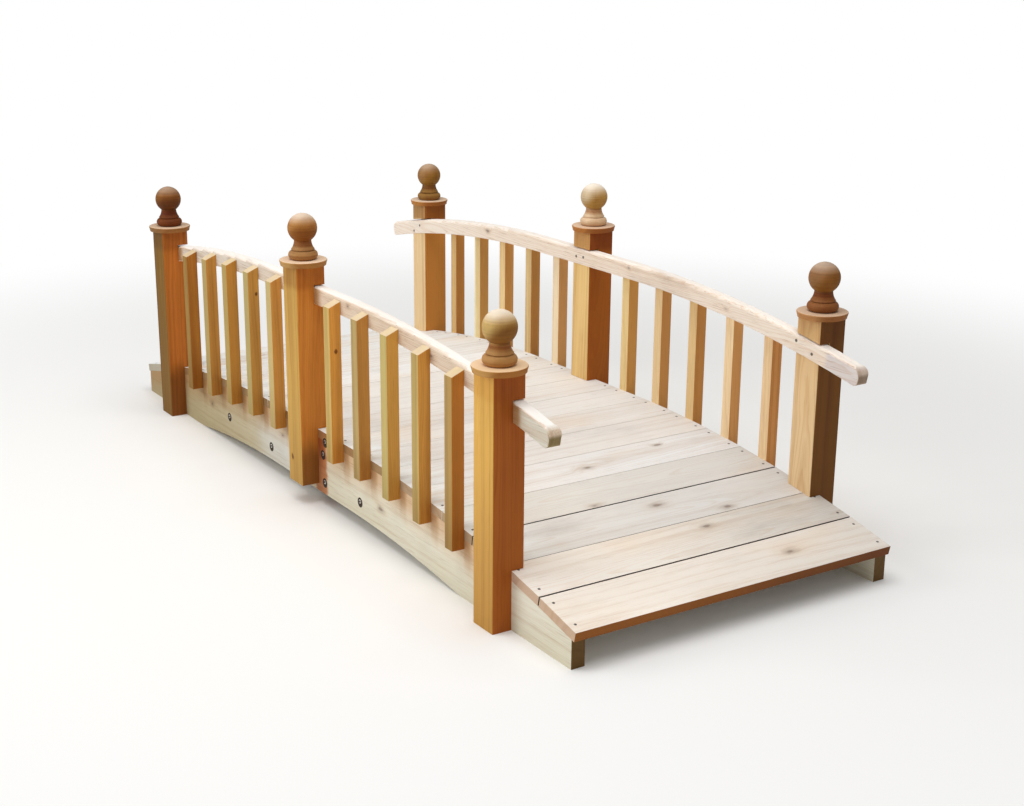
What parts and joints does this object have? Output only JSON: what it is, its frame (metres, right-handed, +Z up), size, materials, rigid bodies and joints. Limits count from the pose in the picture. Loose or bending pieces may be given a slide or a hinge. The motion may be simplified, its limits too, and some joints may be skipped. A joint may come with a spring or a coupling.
{
  "type": "garden_footbridge",
  "caption": "Arched cedar garden footbridge with crosswise deck boards, curved handrails, square balusters and posts topped with turned ball finials",
  "frame": {"origin": "on the ground, in the middle of the footprint", "axes": "X along the bridge with the front end at +X, Y across with the right side at +Y, Z up"},
  "size_m": [2.6802, 1.15, 0.855],
  "materials": {
    "stringer_wood": "rough_sawn",
    "joist_wood": "rough_sawn",
    "deck_wood": "planed",
    "post_wood": "planed",
    "cap_wood": "turned",
    "finial_wood": "turned",
    "rail_wood": "planed",
    "baluster_wood": "planed"
  },
  "bodies": {
    "root": {"stringer_left": "stringer_wood", "stringer_right": "stringer_wood", "cross_joists": "joist_wood", "deck_board_01": "deck_wood", "deck_board_02": "deck_wood", "deck_board_03": "deck_wood", "deck_board_04": "deck_wood", "deck_board_05": "deck_wood", "deck_board_06": "deck_wood", "deck_board_07": "deck_wood", "deck_board_08": "deck_wood", "deck_board_09": "deck_wood", "deck_board_10": "deck_wood", "deck_board_11": "deck_wood", "deck_board_12": "deck_wood", "deck_board_13": "deck_wood", "deck_board_14": "deck_wood", "deck_board_15": "deck_wood", "deck_board_16": "deck_wood", "deck_board_17": "deck_wood", "deck_board_18": "deck_wood", "post_left_front": "post_wood", "post_left_middle": "post_wood", "post_left_back": "post_wood", "post_right_front": "post_wood", "post_right_middle": "post_wood", "post_right_back": "post_wood", "cap_left_front": "cap_wood", "cap_left_middle": "cap_wood", "cap_left_back": "cap_wood", "cap_right_front": "cap_wood", "cap_right_middle": "cap_wood", "cap_right_back": "cap_wood", "finial_left_front": "finial_wood", "finial_left_middle": "finial_wood", "finial_left_back": "finial_wood", "finial_right_front": "finial_wood", "finial_right_middle": "finial_wood", "finial_right_back": "finial_wood", "handrail_left": "rail_wood", "handrail_right": "rail_wood", "balusters_left_front": "baluster_wood", "balusters_left_back": "baluster_wood", "balusters_right_front": "baluster_wood", "balusters_right_back": "baluster_wood"}
  },
  "joints": []
}
